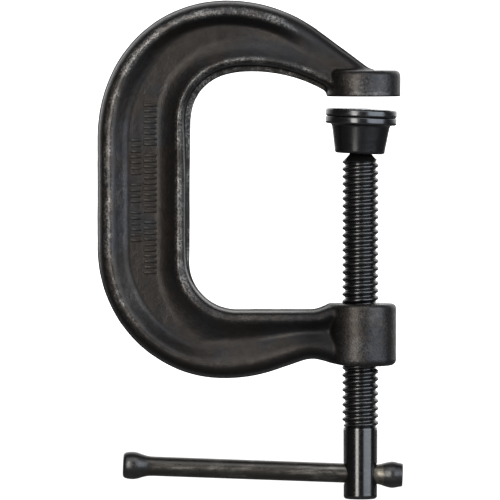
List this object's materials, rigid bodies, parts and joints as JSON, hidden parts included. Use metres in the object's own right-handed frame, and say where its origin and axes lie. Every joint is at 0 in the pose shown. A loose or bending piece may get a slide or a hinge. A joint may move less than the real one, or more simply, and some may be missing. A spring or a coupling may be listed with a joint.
{
  "type": "c clamp",
  "caption": "Drop-forged C clamp with an I-section frame, an Acme clamping screw, a swivel pad and a sliding T-bar handle.",
  "frame": {"origin": "centre of the anvil's flat face, on the screw's axis", "axes": "+Z along the screw towards the anvil; the spine stands on the -X side; Y is across the forging"},
  "size_m": [0.1053, 0.0254, 0.1718],
  "materials": {
    "forged_frame": "drop-forged steel, brown-black oxide, rubbed bright grey on the rib crests",
    "screw_steel": "machined steel, glossy black oxide",
    "pad_steel": "turned steel, glossy black oxide",
    "pad_face_steel": "turned steel, satin black oxide",
    "spring_steel": "bare spring steel, hidden inside the pad",
    "bar_steel": "drawn steel bar, black oxide rubbed to grey along its length"
  },
  "bodies": {
    "frame": {"frame": "forged_frame"},
    "tip_carrier": {"pad_retaining_ring": "spring_steel"},
    "screw": {"screw": "screw_steel"},
    "handle": {"handle_bar": "bar_steel"},
    "pad": {"pad_body": "pad_steel", "pad_face_plate": "pad_face_steel"}
  },
  "joints": [
    {"name": "screw_advance", "type": "slide", "parent": "frame", "child": "tip_carrier", "axis": [0, 0, 1], "range_m": [-0.0492, 0.0038]},
    {"name": "screw_turn", "type": "hinge", "parent": "tip_carrier", "child": "screw", "pos_m": [0, 0, -0.0124], "axis": [0, 0, 1], "range_deg": [-6970, 538]},
    {"name": "handle_slide", "type": "slide", "parent": "screw", "child": "handle", "axis": [0.9994, 0, -0.0358], "range_m": [-0.0008, 0.0668]},
    {"name": "pad_tilt", "type": "hinge", "parent": "tip_carrier", "child": "pad", "pos_m": [0, 0, -0.0124], "axis": [0, 1, 0], "range_deg": [-4.8, 0]}
  ],
  "couplings": [
    {"joint": "screw_advance", "follows": "screw_turn", "m_per_rad": 0.00040425}
  ]
}
